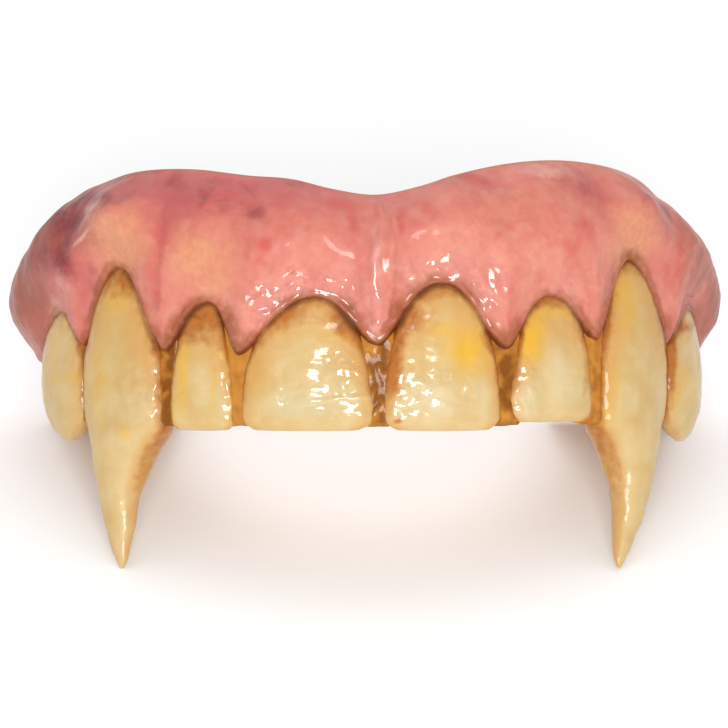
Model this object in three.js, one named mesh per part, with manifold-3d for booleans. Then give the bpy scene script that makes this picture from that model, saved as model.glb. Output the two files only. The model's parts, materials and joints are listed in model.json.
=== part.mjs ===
// Upper fang denture, a hard costume piece that clips over the wearer's front teeth.
// A pink gum flange and eight separate teeth, two of them long fangs, are seated on a horseshoe tray.
// The tray is a channel, open at the top and at both ends, that takes the wearer's own teeth.
//
// Everything is worked out in a mouth frame: +X to the right as seen from the front, +Y towards the
// throat, +Z up, and zero at the cutting edge of the middle teeth. Along the horseshoe a place is given as
// (s, n, z): s runs along the tooth faces from the midline, n stands out of them, z is the height.
// The finished denture is leaned back until it stands on its fang tips and the tray's rear ends.

import * as THREE from "three";
import { mergeVertices } from "three/addons/utils/BufferGeometryUtils.js";
import Module from "manifold-3d";

const wasm = await Module();
wasm.setup();

// The horseshoe that the tooth faces follow, in millimetres.
const ARCH_HALF_WIDTH = 29;
const ARCH_DEPTH = 25;
const ARCH_TAIL = 5;

// Teeth. CROWN_HEIGHT runs from the cutting edge to the gum line; depths are front to back.
const CENTRAL_WIDTH = 10.5;
const LATERAL_WIDTH = 7.15;
const FANG_WIDTH = 9.3;
const PREMOLAR_WIDTH = 8;
const INCISOR_DEPTH = 2.75;
const PREMOLAR_DEPTH = 2.9;
const FANG_DEPTH = 6.4;
const CROWN_HEIGHT = 11.5;
const FANG_DROP = 11.7;
const CONTACT_GAP = 0.8;

// Gum flange. The swells stand in front of the tooth faces, GUM_BACK lies behind them.
const GUM_HEIGHT = 22.5;
const GUM_LIP = 0.95;
const GUM_SWELL = 1.5;
const REAR_SWELL = 2.4;
const GUM_BACK = 0.7;
const ROOT_SWELL = 0.7;
const FRENUM_SWELL = 0.6;
const FRENUM_WIDTH = 1.3;
const BORDER_DEPTH = 5;
const REAR_MARGIN = 5.3;
const END_ROUND = 3;

// Tray.
const TRAY_LIFT = 0.6;
const TRAY_FLOOR = 2.3;
const TRAY_WALL = 2.4;
const CHANNEL_WIDTH = 7.5;
const INNER_WALL = 1.8;
const INNER_WALL_RISE = 3.2;
const TRAY_ROUND = 0.7;

// Clearance between pieces that are seated in or on each other.
const FIT = 0.3;

// How finely the curved solids are cut.
const GUM_STATIONS = 90;
const TRAY_STATIONS = 34;
const TOOTH_LEVELS = 14;
const TOOTH_SIDES = 18;

// Tooth forms. Each row is one level of the tooth, from its edge or tip at 0 to the gum line at 1 and the
// root above. mesial and distal are shares of half the width, towards the midline and away from it; front
// and back are shares of the depth, out of the arch and into it. squareness is the power of the section.
const COLUMNS = ["mesial", "distal", "front", "back"];
const FORMS = {
  incisor: {
    depth: INCISOR_DEPTH,
    squareness: 2.7,
    root: 0.35,
    levels: [
      { level: 0.0, mesial: 0.78, distal: 0.82, front: -0.08, back: -0.5 },
      { level: 0.04, mesial: 0.93, distal: 0.94, front: 0.04, back: -0.62 },
      { level: 0.15, mesial: 1.0, distal: 1.0, front: 0.14, back: -0.74 },
      { level: 0.38, mesial: 0.96, distal: 0.97, front: 0.2, back: -0.8 },
      { level: 0.6, mesial: 0.87, distal: 0.86, front: 0.19, back: -0.8 },
      { level: 0.8, mesial: 0.77, distal: 0.74, front: 0.12, back: -0.8 },
      { level: 1.0, mesial: 0.62, distal: 0.6, front: 0.0, back: -0.78 },
      { level: 1.14, mesial: 0.46, distal: 0.44, front: -0.14, back: -0.7 },
    ],
  },
  premolar: {
    depth: PREMOLAR_DEPTH,
    squareness: 2.3,
    root: 0.45,
    levels: [
      { level: 0.0, mesial: 0.14, distal: 0.14, front: -0.12, back: -0.4 },
      { level: 0.05, mesial: 0.46, distal: 0.42, front: 0.04, back: -0.56 },
      { level: 0.14, mesial: 0.8, distal: 0.72, front: 0.17, back: -0.7 },
      { level: 0.3, mesial: 0.97, distal: 0.94, front: 0.27, back: -0.76 },
      { level: 0.5, mesial: 1.0, distal: 1.0, front: 0.3, back: -0.76 },
      { level: 0.75, mesial: 0.86, distal: 0.88, front: 0.22, back: -0.76 },
      { level: 1.0, mesial: 0.62, distal: 0.64, front: 0.04, back: -0.74 },
      { level: 1.13, mesial: 0.44, distal: 0.46, front: -0.12, back: -0.68 },
    ],
  },
  fang: {
    depth: FANG_DEPTH,
    squareness: 2.15,
    root: 1,
    levels: [
      { level: 0.0, mesial: 0.05, distal: 0.04, front: -0.02, back: -0.07 },
      { level: 0.01, mesial: 0.085, distal: 0.07, front: -0.01, back: -0.09 },
      { level: 0.025, mesial: 0.11, distal: 0.125, front: 0.0, back: -0.125 },
      { level: 0.06, mesial: 0.13, distal: 0.25, front: 0.02, back: -0.19 },
      { level: 0.12, mesial: 0.16, distal: 0.4, front: 0.05, back: -0.265 },
      { level: 0.19, mesial: 0.175, distal: 0.545, front: 0.08, back: -0.345 },
      { level: 0.256, mesial: 0.225, distal: 0.655, front: 0.11, back: -0.42 },
      { level: 0.323, mesial: 0.35, distal: 0.76, front: 0.14, back: -0.515 },
      { level: 0.39, mesial: 0.55, distal: 0.84, front: 0.165, back: -0.59 },
      { level: 0.435, mesial: 0.75, distal: 0.93, front: 0.18, back: -0.64 },
      { level: 0.46, mesial: 0.9, distal: 0.96, front: 0.185, back: -0.62 },
      { level: 0.5, mesial: 0.95, distal: 0.99, front: 0.185, back: -0.5 },
      { level: 0.54, mesial: 0.96, distal: 1.0, front: 0.18, back: -0.4 },
      { level: 0.6, mesial: 0.97, distal: 1.0, front: 0.18, back: -0.345 },
      { level: 0.73, mesial: 0.94, distal: 0.97, front: 0.16, back: -0.34 },
      { level: 0.84, mesial: 0.82, distal: 0.85, front: 0.11, back: -0.34 },
      { level: 0.93, mesial: 0.62, distal: 0.66, front: 0.05, back: -0.33 },
      { level: 1.0, mesial: 0.43, distal: 0.46, front: -0.01, back: -0.31 },
      { level: 1.05, mesial: 0.28, distal: 0.3, front: -0.06, back: -0.28 },
    ],
  },
};

// The teeth, from the midline outwards on each side. gap is the share of CONTACT_GAP before the tooth, width
// the share of its kind's width, and edge, neck and papilla are shares of CROWN_HEIGHT: the edge, the top of
// the gum line on the tooth, and the gum's point on its midline side. proud is how far it stands out of the
// row, as a share of its depth. apex and hook shift the gum line's top and the tip towards the midline, as
// shares of half the width.
const TEETH = [
  {
    name: "left_central_incisor", side: -1, form: "incisor", kind: CENTRAL_WIDTH,
    gap: 0.45, width: 1.05, edge: 0, neck: 0.94, papilla: 0.6, proud: 0, apex: 0.12, hook: 0,
  },
  {
    name: "left_lateral_incisor", side: -1, form: "incisor", kind: LATERAL_WIDTH,
    gap: 1, width: 0.84, edge: 0, neck: 0.91, papilla: 0.54, proud: 0, apex: 0.25, hook: 0,
  },
  {
    name: "left_fang", side: -1, form: "fang", kind: FANG_WIDTH,
    gap: 0.74, width: 0.985, edge: 0, neck: 1.165, papilla: 0.56, proud: 0, apex: -0.08, hook: -0.05,
  },
  {
    name: "left_premolar", side: -1, form: "premolar", kind: PREMOLAR_WIDTH,
    gap: 0.4, width: 1, edge: -0.09, neck: 0.84, papilla: 0.6, proud: 0, apex: 0.05, hook: 0.1,
  },
  {
    name: "right_central_incisor", side: 1, form: "incisor", kind: CENTRAL_WIDTH,
    gap: 0.8, width: 0.94, edge: 0, neck: 1.045, papilla: 0.6, proud: 0, apex: 0.07, hook: 0,
  },
  {
    name: "right_lateral_incisor", side: 1, form: "incisor", kind: LATERAL_WIDTH,
    gap: 1.35, width: 1.12, edge: 0.06, neck: 0.95, papilla: 0.57, proud: 0, apex: 0.16, hook: 0,
  },
  {
    name: "right_fang", side: 1, form: "fang", kind: FANG_WIDTH,
    gap: 1, width: 0.935, edge: 0, neck: 1.225, papilla: 0.64, proud: 0, apex: 0.2, hook: 0.42,
  },
  {
    name: "right_premolar", side: 1, form: "premolar", kind: PREMOLAR_WIDTH,
    gap: 0.4, width: 1.04, edge: -0.1, neck: 0.87, papilla: 0.6, proud: 0.12, apex: 0, hook: -0.05,
  },
];

// The gum's top edge: place is a share of the half arch from the midline, height a share of GUM_HEIGHT. It
// dips at the midline, where the lip's frenum passes, and falls away towards the rear ends.
const TOP_EDGE = [
  { place: -1.0, height: 0.6 },
  { place: -0.9, height: 0.7 },
  { place: -0.8, height: 0.81 },
  { place: -0.7, height: 0.894 },
  { place: -0.6, height: 0.932 },
  { place: -0.5, height: 0.967 },
  { place: -0.36, height: 0.97 },
  { place: -0.24, height: 0.942 },
  { place: -0.16, height: 0.928 },
  { place: -0.08, height: 0.89 },
  { place: 0.0, height: 0.869 },
  { place: 0.08, height: 0.9 },
  { place: 0.15, height: 0.944 },
  { place: 0.25, height: 0.987 },
  { place: 0.34, height: 1.005 },
  { place: 0.43, height: 1.002 },
  { place: 0.55, height: 0.972 },
  { place: 0.67, height: 0.902 },
  { place: 0.8, height: 0.77 },
  { place: 0.9, height: 0.69 },
  { place: 1.0, height: 0.6 },
];

// Where the sections of the flange's outer face lie, as shares of the way from the gum line to the top edge.
const RISES = [0.02, 0.07, 0.15, 0.26, 0.4, 0.55, 0.7, 0.82, 0.91, 0.97, 1];

// Levels of the frame that the pieces share.
const trayFront = -(GUM_BACK + FIT);
const channelFront = trayFront - TRAY_WALL;
const channelBack = channelFront - CHANNEL_WIDTH;
const trayBack = channelBack - INNER_WALL;
const channelFloor = TRAY_LIFT + TRAY_FLOOR;

// A smooth curve through a table's rows, as a function from the key column to an array of the other columns.
function smoothTable(rows, key, columns) {
  const keys = rows.map((row) => row[key]);
  const values = rows.flatMap((row) => columns.map((column) => row[column]));
  const curve = new THREE.CubicInterpolant(keys, values, columns.length);
  const [low, high] = [keys[0], keys.at(-1)];
  return (at) => Array.from(curve.evaluate(THREE.MathUtils.clamp(at, low, high)));
}

// The horseshoe: half an ellipse across the front, and a straight tail behind each side of it.
const frontCurve = new THREE.EllipseCurve(0, ARCH_DEPTH, ARCH_HALF_WIDTH, ARCH_DEPTH, -Math.PI, 0);
frontCurve.arcLengthDivisions = 800;
const frontHalf = frontCurve.getLength() / 2;
const archHalf = frontHalf + ARCH_TAIL;

function archAt(s) {
  const share = THREE.MathUtils.clamp(0.5 + s / (2 * frontHalf), 0, 1);
  const tangent = frontCurve.getTangentAt(share);
  const beyond = s - (share - 0.5) * 2 * frontHalf;
  return { point: frontCurve.getPointAt(share).addScaledVector(tangent, beyond), tangent };
}

function mouthPoint(s, n, z) {
  const { point, tangent } = archAt(s);
  return new THREE.Vector3(point.x + n * tangent.y, point.y - n * tangent.x, z);
}

// One closed solid through equal rings of points. outline is the last ring seen flat, for its two end faces.
function loft(rings, outline) {
  const count = outline.length;
  const positions = rings.flat().flatMap((p) => [p.x, p.y, p.z]);
  const faces = [];
  for (let r = 0; r + 1 < rings.length; r++) {
    for (let k = 0; k < count; k++) {
      const a = r * count + k;
      const b = r * count + ((k + 1) % count);
      faces.push([a, b, a + count], [b, b + count, a + count]);
    }
  }
  const last = (rings.length - 1) * count;
  for (const [a, b, c] of THREE.ShapeUtils.triangulateShape(outline, [])) {
    faces.push([c, b, a], [last + a, last + b, last + c]);
  }
  const geometry = new THREE.BufferGeometry();
  geometry.setAttribute("position", new THREE.Float32BufferAttribute(positions, 3));
  geometry.setIndex(faces.flat());
  return solidOf(geometry);
}

function solidOf(geometry) {
  const merged = mergeVertices(geometry, 1e-4);
  return new wasm.Manifold(
    new wasm.Mesh({
      numProp: 3,
      vertProperties: merged.attributes.position.array,
      triVerts: new Uint32Array(merged.index.array),
    }),
  );
}

function geometryOf(solid) {
  const mesh = solid.getMesh();
  const geometry = new THREE.BufferGeometry();
  geometry.setAttribute("position", new THREE.BufferAttribute(new Float32Array(mesh.vertProperties), 3));
  geometry.setIndex(new THREE.BufferAttribute(new Uint32Array(mesh.triVerts), 1));
  geometry.computeVertexNormals();
  return geometry;
}

// Each tooth's stretch of the arch and its heights, laid out from the midline.
function layOutTeeth() {
  const reached = { "-1": 0, "1": 0 };
  return TEETH.map((row) => {
    const start = reached[row.side] + row.gap * CONTACT_GAP;
    const width = row.width * row.kind;
    reached[row.side] = start + width;
    const half = width / 2;
    const centre = row.side * (start + half);
    const low = row.form === "fang" ? -FANG_DROP : row.edge * CROWN_HEIGHT;
    return {
      ...row,
      shape: FORMS[row.form],
      half,
      centre,
      start,
      end: start + width,
      low,
      high: row.neck * CROWN_HEIGHT,
      apexAt: centre - row.side * row.apex * half,
      papillaHeight: row.papilla * CROWN_HEIGHT,
    };
  });
}

const teeth = layOutTeeth();

// The scallops of the gum line: one stretch for each tooth, between the gum's points on both sides of it.
function layOutScallops() {
  const scallops = [];
  for (const side of [-1, 1]) {
    const row = teeth.filter((tooth) => tooth.side === side);
    row.forEach((tooth, i) => {
      const next = row[i + 1];
      scallops.push({
        from: i === 0 ? 0 : (row[i - 1].end + tooth.start) / 2,
        to: next ? (tooth.end + next.start) / 2 : tooth.end + CONTACT_GAP,
        fromHeight: tooth.papillaHeight,
        toHeight: next ? next.papillaHeight : REAR_MARGIN,
        side,
        apexAt: tooth.apexAt,
        apexHeight: tooth.high,
      });
    });
  }
  return scallops;
}

const scallops = layOutScallops();

function gumLine(s) {
  const side = s < 0 ? -1 : 1;
  const place = Math.abs(s);
  const scallop = scallops.find((one) => one.side === side && place <= one.to);
  if (!scallop) return REAR_MARGIN;
  const apex = Math.abs(scallop.apexAt);
  const outwards = place > apex;
  const point = outwards ? scallop.to : scallop.from;
  const pointHeight = outwards ? scallop.toHeight : scallop.fromHeight;
  const away = Math.abs((place - apex) / (point - apex)) ** 1.25;
  return THREE.MathUtils.lerp(scallop.apexHeight, pointHeight, THREE.MathUtils.smoothstep(away, 0, 1));
}

const topEdgeCurve = smoothTable(TOP_EDGE, "place", ["height"]);

function topEdge(s) {
  return topEdgeCurve(s / archHalf)[0] * GUM_HEIGHT;
}

function bell(distance, width) {
  return Math.exp(-((distance / width) ** 2));
}

// How far the flange's outer face stands out of the tooth faces, at a share of its rise.
function gumFace(s, rise) {
  const rear = THREE.MathUtils.smoothstep(Math.abs(s) / archHalf, 0.6, 0.86);
  const lip = THREE.MathUtils.lerp(GUM_LIP, trayFront + FIT, rear);
  const body = THREE.MathUtils.lerp(GUM_SWELL, REAR_SWELL, rear);
  const crest = (trayFront + channelFront) / 2;
  const low = Math.max(0, 1 - rise / 0.4) ** 2;
  const high = Math.max(0, (rise - 0.45) / 0.55) ** 2.6;
  const roots = teeth.reduce(
    (sum, tooth) => sum + tooth.shape.root * bell(s - tooth.apexAt, 0.8 * tooth.half),
    0,
  );
  const ridge = FRENUM_SWELL * bell(s - FRENUM_WIDTH / 2, FRENUM_WIDTH);
  const relief = (ROOT_SWELL * roots * (1 - rear) + ridge) * Math.sin(Math.PI * rise);
  return body + (lip - body) * low + (crest - body) * high + relief * (1 - high);
}

// One section of the flange, as (n, z) points. It hangs over the tray's front wall at the top.
function gumSection(s) {
  const bottom = gumLine(s);
  const top = topEdge(s);
  const seat = top - BORDER_DEPTH + FIT;
  const inner = -GUM_BACK;
  const outline = RISES.map((rise) => [gumFace(s, rise), THREE.MathUtils.lerp(bottom, top, rise)]);
  const lip = outline[0][0];
  outline.push(
    [THREE.MathUtils.lerp(trayFront, channelFront, 0.82), top - 0.06 * BORDER_DEPTH],
    [channelFront, top - 0.28 * BORDER_DEPTH],
    [channelFront, seat],
    [inner, seat],
    [inner, (seat + bottom) / 2],
    [inner, bottom + 0.4],
    [THREE.MathUtils.lerp(inner, lip, 0.45), bottom - 0.1],
  );
  // Each end of the flange is rounded off by drawing its last sections in.
  const past = Math.max(0, Math.abs(s) - (archHalf - END_ROUND)) / END_ROUND;
  const drawn = Math.max(0.4, Math.sqrt(Math.max(0, 1 - past ** 2)));
  const middle = (bottom + top) / 2;
  return outline.map(
    ([n, z]) => new THREE.Vector2(inner + (n - inner) * drawn, middle + (z - middle) * drawn),
  );
}

// One section of the tray: front wall, channel floor and low inner wall.
function traySection(s) {
  const wallTop = topEdge(s) - BORDER_DEPTH;
  const innerTop = channelFloor + INNER_WALL_RISE;
  return [
    [trayFront, wallTop],
    [channelFront, wallTop],
    [channelFront, channelFloor + TRAY_ROUND],
    [channelFront - TRAY_ROUND, channelFloor],
    [channelBack + TRAY_ROUND, channelFloor],
    [channelBack, channelFloor + TRAY_ROUND],
    [channelBack - 0.15 * INNER_WALL, innerTop - 0.4 * INNER_WALL],
    [channelBack - 0.5 * INNER_WALL, innerTop],
    [channelBack - 0.85 * INNER_WALL, innerTop - 0.4 * INNER_WALL],
    [trayBack, channelFloor],
    [trayBack, TRAY_LIFT + TRAY_ROUND],
    [trayBack + 0.3 * TRAY_ROUND, TRAY_LIFT + 0.3 * TRAY_ROUND],
    [trayBack + TRAY_ROUND, TRAY_LIFT],
    [trayFront - TRAY_ROUND, TRAY_LIFT],
    [trayFront - 0.3 * TRAY_ROUND, TRAY_LIFT + 0.3 * TRAY_ROUND],
    [trayFront, TRAY_LIFT + TRAY_ROUND],
    [trayFront, (TRAY_LIFT + wallTop) / 2],
  ].map(([n, z]) => new THREE.Vector2(n, z));
}

// A section carried along the whole arch, from its right end to its left end.
function sweepArch(section, stations) {
  const rings = [];
  for (let i = 0; i < stations; i++) {
    const s = THREE.MathUtils.lerp(archHalf, -archHalf, i / (stations - 1));
    rings.push(section(s).map((p) => mouthPoint(s, p.x, p.y)));
  }
  return loft(rings, section(-archHalf));
}

// A tooth in its own frame: X along the arch, Y into it, Z up. grow widens it all round, to cut its socket.
function toothSolid(tooth, grow = 0) {
  const { shape, half, side, low, high } = tooth;
  const curve = smoothTable(shape.levels, "level", COLUMNS);
  const lastLevel = shape.levels.at(-1).level;
  const rings = [];
  let flat = [];
  for (let i = 0; i < TOOTH_LEVELS; i++) {
    const share = i / (TOOTH_LEVELS - 1);
    // Levels are packed towards the edge, where the outline turns quickest.
    const level = lastLevel * share ** 1.35;
    const [mesial, distal, front, back] = curve(level);
    const drift = tooth.hook * half * Math.max(0, 1 - 2 * level) ** 2;
    const middle = drift + ((mesial - distal) * half) / 2;
    const across = ((mesial + distal) * half) / 2 + grow;
    const deep = ((front - back) * shape.depth) / 2 + grow;
    const centre = -((front + back) / 2 + tooth.proud) * shape.depth;
    const height = THREE.MathUtils.lerp(low, high, level) + (share * 2 - 1) * grow;
    flat = [];
    for (let k = 0; k < TOOTH_SIDES; k++) {
      const turn = (2 * Math.PI * k) / TOOTH_SIDES;
      const x = Math.sign(Math.cos(turn)) * Math.abs(Math.cos(turn)) ** (2 / shape.squareness);
      const y = Math.sign(Math.sin(turn)) * Math.abs(Math.sin(turn)) ** (2 / shape.squareness);
      flat.push(new THREE.Vector2(-side * middle + x * across, centre + y * deep));
    }
    rings.push(flat.map((p) => new THREE.Vector3(p.x, p.y, height)));
  }
  return loft(rings, flat);
}

// The tooth's place in the mouth frame: on the arch, turned to face out of it.
function toothPlace(tooth) {
  const { point, tangent } = archAt(tooth.centre);
  return new THREE.Matrix4()
    .makeRotationZ(tangent.angle())
    .setPosition(point.x, point.y, 0);
}

function moved(solid, matrix) {
  return solid.transform(matrix.elements);
}

const gumPink = new THREE.MeshStandardMaterial({ color: 0xd9827c, roughness: 0.28, metalness: 0 });
const toothIvory = new THREE.MeshStandardMaterial({ color: 0xdcc07a, roughness: 0.25, metalness: 0 });
const trayAcrylic = new THREE.MeshStandardMaterial({ color: 0xb98a52, roughness: 0.4, metalness: 0 });

const denture = new THREE.Group();
denture.name = "denture_leaned_back";

function addPiece(name, solid, material, place = new THREE.Matrix4()) {
  const mesh = new THREE.Mesh(geometryOf(solid), material);
  mesh.name = name;
  mesh.applyMatrix4(place);
  denture.add(mesh);
  return mesh;
}

// Fangs are seated first, and a tooth that would reach into a seated one gives way to it.
let gum = sweepArch(gumSection, GUM_STATIONS);
let tray = sweepArch(traySection, TRAY_STATIONS);
let seated = null;
const meshes = {};
const bySize = [...teeth].sort((a, b) => b.shape.depth - a.shape.depth);
for (const tooth of bySize) {
  const place = toothPlace(tooth);
  const socket = moved(toothSolid(tooth, FIT), place);
  let solid = toothSolid(tooth);
  if (seated) solid = solid.subtract(moved(seated, place.clone().invert()));
  seated = seated ? seated.add(socket) : socket;
  meshes[tooth.name] = addPiece(tooth.name, solid, toothIvory, place);
}
gum = gum.subtract(seated);
tray = tray.subtract(seated);
addPiece("gum_flange", gum, gumPink);
addPiece("tray", tray, trayAcrylic);

// Lean the denture back until the fang tips and the tray's rear ends stand level.
function lowestPoint(mesh) {
  const positions = mesh.geometry.getAttribute("position");
  let lowest = new THREE.Vector3(0, 0, Infinity);
  for (let i = 0; i < positions.count; i++) {
    const p = new THREE.Vector3().fromBufferAttribute(positions, i).applyMatrix4(mesh.matrix);
    if (p.z < lowest.z) lowest = p;
  }
  return lowest;
}

const tip = lowestPoint(meshes.right_fang);
const rear = mouthPoint(archHalf, trayFront, TRAY_LIFT);
denture.rotation.x = -Math.atan2(rear.z - tip.z, rear.y - tip.y);

// The origin is the middle of the ground under the denture.
denture.updateMatrixWorld(true);
const bounds = new THREE.Box3().setFromObject(denture, true);
const middle = bounds.getCenter(new THREE.Vector3());
denture.position.set(-middle.x, -middle.y, -bounds.min.z);

const part = new THREE.Group();
part.add(denture);

export default part;
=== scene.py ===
import json
import math

import bpy
import numpy as np
from mathutils import Matrix, Vector
from mathutils.kdtree import KDTree


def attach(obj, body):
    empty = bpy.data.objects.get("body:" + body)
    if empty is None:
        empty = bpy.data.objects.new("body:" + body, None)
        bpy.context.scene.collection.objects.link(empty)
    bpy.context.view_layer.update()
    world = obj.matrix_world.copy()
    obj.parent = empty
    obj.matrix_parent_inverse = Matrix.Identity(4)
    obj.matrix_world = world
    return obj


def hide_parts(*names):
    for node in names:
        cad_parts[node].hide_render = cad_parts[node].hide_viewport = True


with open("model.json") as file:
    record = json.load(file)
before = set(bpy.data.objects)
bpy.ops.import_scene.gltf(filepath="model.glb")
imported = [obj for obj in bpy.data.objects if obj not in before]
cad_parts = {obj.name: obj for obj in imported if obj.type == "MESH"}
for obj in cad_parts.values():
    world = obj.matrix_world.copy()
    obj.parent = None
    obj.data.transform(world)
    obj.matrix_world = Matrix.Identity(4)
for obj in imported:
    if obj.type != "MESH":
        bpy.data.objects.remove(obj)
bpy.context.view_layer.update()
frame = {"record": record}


# ---- Tray ----
# One cast acrylic horseshoe that carries every tooth and the gum, with a channel for the wearer's own
# teeth. Brown stain was washed into the gaps between the teeth, where it pooled and dried in glossy beads.

arch_half_width, arch_depth, arch_tail = 29.0, 25.0, 5.0
arch_turn = np.linspace(0, math.pi / 2, 2001)
arch_run = np.hypot(
    np.diff(arch_half_width * np.sin(arch_turn)), np.diff(arch_depth * np.cos(arch_turn))
)
arch_run = np.concatenate([[0], np.cumsum(arch_run)])
half_arch = arch_run[-1] + arch_tail


def on_arch(s, n, z):
    """Places along the horseshoe: s from the midline to the right, n out of the tooth faces, z up."""
    s, n, z = np.broadcast_arrays(*(np.asarray(v, float) for v in (s, n, z)))
    turn = np.interp(np.abs(s), arch_run, arch_turn)
    beyond = np.maximum(0, np.abs(s) - arch_run[-1])
    side = np.where(s < 0, -1, 1)
    x, y = arch_half_width * np.sin(turn), arch_depth * (1 - np.cos(turn)) + beyond
    across, back = arch_half_width * np.cos(turn), arch_depth * np.sin(turn)
    long = np.hypot(across, back)
    return np.stack([side * (x + n * back / long), y - n * across / long, z], -1)


# The seat that the record states for the wearer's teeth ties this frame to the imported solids.
seat = next(m for m in frame["record"]["mounts"] if m["name"] == "tooth_seat")
seat_in_mouth, seat_in_row = np.array([0, 7.15, 2.9]), np.array(seat["pos_m"]) * 1000
lean = np.array([[1, 0, 0], [0, seat["axis"][2], seat["axis"][1]], [0, -seat["axis"][1], seat["axis"][2]]])


def to_row(points):
    """Points of the mouth's frame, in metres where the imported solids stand."""
    return ((np.asarray(points) - seat_in_mouth) @ lean.T + seat_in_row) / 1000


def smooth_curve(places, values):
    """A smooth curve through a table, level beyond its ends."""
    places, values = np.asarray(places, float), np.asarray(values, float)
    steps = np.diff(places)
    slopes = np.diff(values) / steps
    leans = np.concatenate([slopes[:1], (slopes[1:] + slopes[:-1]) / 2, slopes[-1:]])

    def at(where):
        where = np.clip(where, places[0], places[-1])
        k = np.clip(np.searchsorted(places, where, side="right") - 1, 0, len(steps) - 1)
        p = (where - places[k]) / steps[k]
        low = values[k] * (1 + 2 * p) + leans[k] * steps[k] * p
        high = values[k + 1] * (3 - 2 * p) - leans[k + 1] * steps[k] * (1 - p)
        return low * (1 - p) ** 2 + high * p**2

    return at


def bell(distance, width):
    return np.exp(-((distance / width) ** 2))


def ease(value, start, end):
    p = np.clip((value - start) / (end - start), 0, 1)
    return p * p * (3 - 2 * p)


lump_ways = np.random.default_rng(11).normal(size=(256, 3))
lump_ways /= np.linalg.norm(lump_ways, axis=1, keepdims=True)


def lumps(points, size, seed=0):
    """Smooth hand-made lumps between about -1 and 1, roughly one to every size millimetres."""
    spot = np.asarray(points, float) / size + 17.37 * seed + 100
    cell = np.floor(spot).astype(np.int64)
    inside = spot - cell
    fade = inside**3 * (inside * (inside * 6 - 15) + 10)
    total = 0
    for corner in np.ndindex(2, 2, 2):
        key = np.sum((cell + corner) * [73856093, 19349663, 83492791], -1)
        way = lump_ways[(key ^ (key >> 9) ^ (key >> 17)) & 255]
        share = np.prod(np.where(corner, fade, 1 - fade), -1)
        total = total + share * np.sum(way * (inside - corner), -1)
    return 1.7 * total


def outwards(rings):
    """The way out of the surface at each point of a body made of rings."""
    along = np.gradient(rings, axis=0)
    around = np.roll(rings, -1, 1) - np.roll(rings, 1, 1)
    out = np.cross(along, around)
    out /= np.linalg.norm(out, axis=-1, keepdims=True) + 1e-9
    middle = rings.mean(1, keepdims=True)
    return out * np.sign(np.sum(out * (rings - middle)))


def skin(name, rings, masks, material):
    """A closed body through equal rings of points, kept with the masks that its paint follows."""
    count, around = rings.shape[:2]
    points = to_row(rings.reshape(-1, 3))
    spot = np.arange(count * around).reshape(count, around)
    below, above = spot[:-1], spot[1:]
    quads = np.stack([below, np.roll(below, -1, 1), np.roll(above, -1, 1), above], -1).reshape(-1, 4)
    p, q, r, t = (points[quads[:, k]] for k in range(4))
    volume = np.sum(np.cross(p, q) * r) + np.sum(np.cross(p, r) * t)
    faces = [f if volume > 0 else f[::-1] for f in quads.tolist()]
    ends = [spot[0][::-1].tolist(), spot[-1].tolist()]
    faces += [f if volume > 0 else f[::-1] for f in ends]
    mesh = bpy.data.meshes.new(name)
    mesh.from_pydata(points.tolist(), [], faces)
    mesh.polygons.foreach_set("use_smooth", [True] * len(faces))
    for mask, values in masks.items():
        data = mesh.attributes.new(mask, "FLOAT", "POINT").data
        data.foreach_set("value", np.broadcast_to(values, (count, around)).ravel().astype(np.float32))
    mesh.materials.append(material)
    piece = bpy.data.objects.new(name, mesh)
    bpy.context.scene.collection.objects.link(piece)
    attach(piece, "root")
    return piece


# Levels from the edge or tip at 0 to the gum line at 1, then the root: towards the midline, away from it,
# out of the arch and into it, as shares of half the width and of the depth.
incisor_form = (2.75, 2.7, (
    (0, .78, .82, -.08, -.5), (.04, .93, .94, .04, -.62), (.15, 1, 1, .14, -.74), (.38, .96, .97, .2, -.8),
    (.6, .87, .86, .19, -.8), (.8, .77, .74, .12, -.8), (1, .62, .6, 0, -.78), (1.14, .46, .44, -.14, -.7),
))
premolar_form = (2.9, 2.3, (
    (0, .14, .14, -.12, -.4), (.05, .46, .42, .04, -.56), (.14, .8, .72, .17, -.7), (.3, .97, .94, .27, -.76),
    (.5, 1, 1, .3, -.76), (.75, .86, .88, .22, -.76), (1, .62, .64, .04, -.74), (1.13, .44, .46, -.12, -.68),
))
fang_form = (6.4, 2.15, (
    (0, .05, .04, -.02, -.07), (.01, .085, .07, -.01, -.09), (.025, .11, .125, 0, -.125),
    (.06, .13, .25, .02, -.19), (.12, .16, .4, .05, -.265), (.19, .175, .545, .08, -.345),
    (.256, .225, .655, .11, -.42), (.323, .35, .76, .14, -.515), (.39, .55, .84, .165, -.59),
    (.435, .75, .93, .18, -.64), (.46, .9, .96, .185, -.62), (.5, .95, .99, .185, -.5), (.54, .96, 1, .18, -.4),
    (.6, .97, 1, .18, -.345), (.73, .94, .97, .16, -.34), (.84, .82, .85, .11, -.34),
    (.93, .62, .66, .05, -.33), (1, .43, .46, -.01, -.31), (1.05, .28, .3, -.06, -.28),
))

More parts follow.
